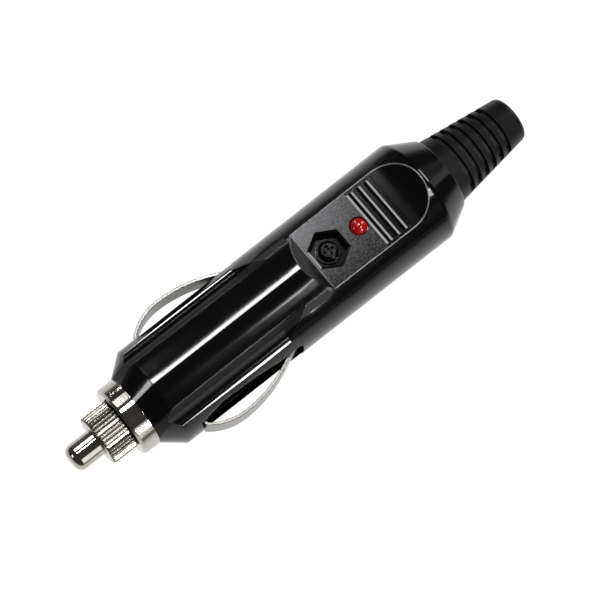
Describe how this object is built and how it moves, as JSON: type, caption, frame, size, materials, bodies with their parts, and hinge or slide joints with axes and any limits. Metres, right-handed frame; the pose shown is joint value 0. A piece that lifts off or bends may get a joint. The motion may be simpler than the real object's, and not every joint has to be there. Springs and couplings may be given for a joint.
{
  "type": "cigarette lighter plug",
  "caption": "Round black car lighter-socket plug with sprung side contacts, a sprung centre pin under a knurled cap, a red lamp on a flat grip and a slit cable boot.",
  "frame": {"origin": "on the plug's axis, where the nose cone meets the barrel", "axes": "+X along the plug towards the cable boot, +Z out of the grip panel with the lamp, side contacts at +Y and -Y"},
  "size_m": [0.1023, 0.0258, 0.0208],
  "materials": {
    "shell_plastic": "glossy moulded",
    "nickel_plate": "bright nickel plate",
    "leaf_nickel": "nickel plated strip",
    "washer_rubber": "matt",
    "fuse_glass": "clear",
    "tinned_wire": "tinned",
    "spring_steel": "drawn wire",
    "contact_brass": "stamped",
    "lamp_red": "tinted clear",
    "resistor_body": "lacquer",
    "screw_steel": "blackened",
    "boot_rubber": "matt moulded"
  },
  "bodies": {
    "housing": {"upper_shell": "shell_plastic", "lower_shell": "shell_plastic", "front_ring": "nickel_plate", "fuse_spring": "spring_steel", "fuse_contact": "contact_brass", "ground_strap": "contact_brass", "led_lamp": "lamp_red", "led_leads": "tinned_wire", "resistor": "resistor_body", "resistor_lead": "tinned_wire", "case_screw": "screw_steel", "cable_boot": "boot_rubber"},
    "plunger": {"contact_pin": "nickel_plate", "fuse_end_front": "nickel_plate", "fuse_end_rear": "nickel_plate", "fuse_glass": "fuse_glass", "fuse_wire": "tinned_wire"},
    "washer": {"cap_washer": "washer_rubber"},
    "cap": {"knurled_cap": "nickel_plate"},
    "left_leaf": {"side_contact_left": "leaf_nickel"},
    "right_leaf": {"side_contact_right": "leaf_nickel"}
  },
  "joints": [
    {"name": "pin_press", "type": "slide", "parent": "housing", "child": "plunger", "axis": [1, 0, 0], "range_m": [0, 0.0025], "stiffness_N_per_m": 1500, "springref_m": -0.002, "deforming": ["fuse_spring"]},
    {"name": "cap_lift", "type": "slide", "parent": "housing", "child": "washer", "axis": [-1, 0, 0], "range_m": [0, 0.003]},
    {"name": "cap_turn", "type": "hinge", "parent": "washer", "child": "cap", "pos_m": [0, 0, 0], "axis": [-1, 0, 0], "range_deg": [0, 1440]},
    {"name": "left_leaf_flex", "type": "hinge", "parent": "housing", "child": "left_leaf", "pos_m": [0.029, 0.00843, 0], "axis": [0, 0, 1], "range_deg": [0, 8], "stiffness_Nm_per_rad": 0.6},
    {"name": "right_leaf_flex", "type": "hinge", "parent": "housing", "child": "right_leaf", "pos_m": [0.029, -0.00843, 0], "axis": [0, 0, -1], "range_deg": [0, 8], "stiffness_Nm_per_rad": 0.6}
  ],
  "couplings": [
    {"joint": "cap_turn", "follows": "cap_lift", "rad_per_m": 8377.5}
  ]
}
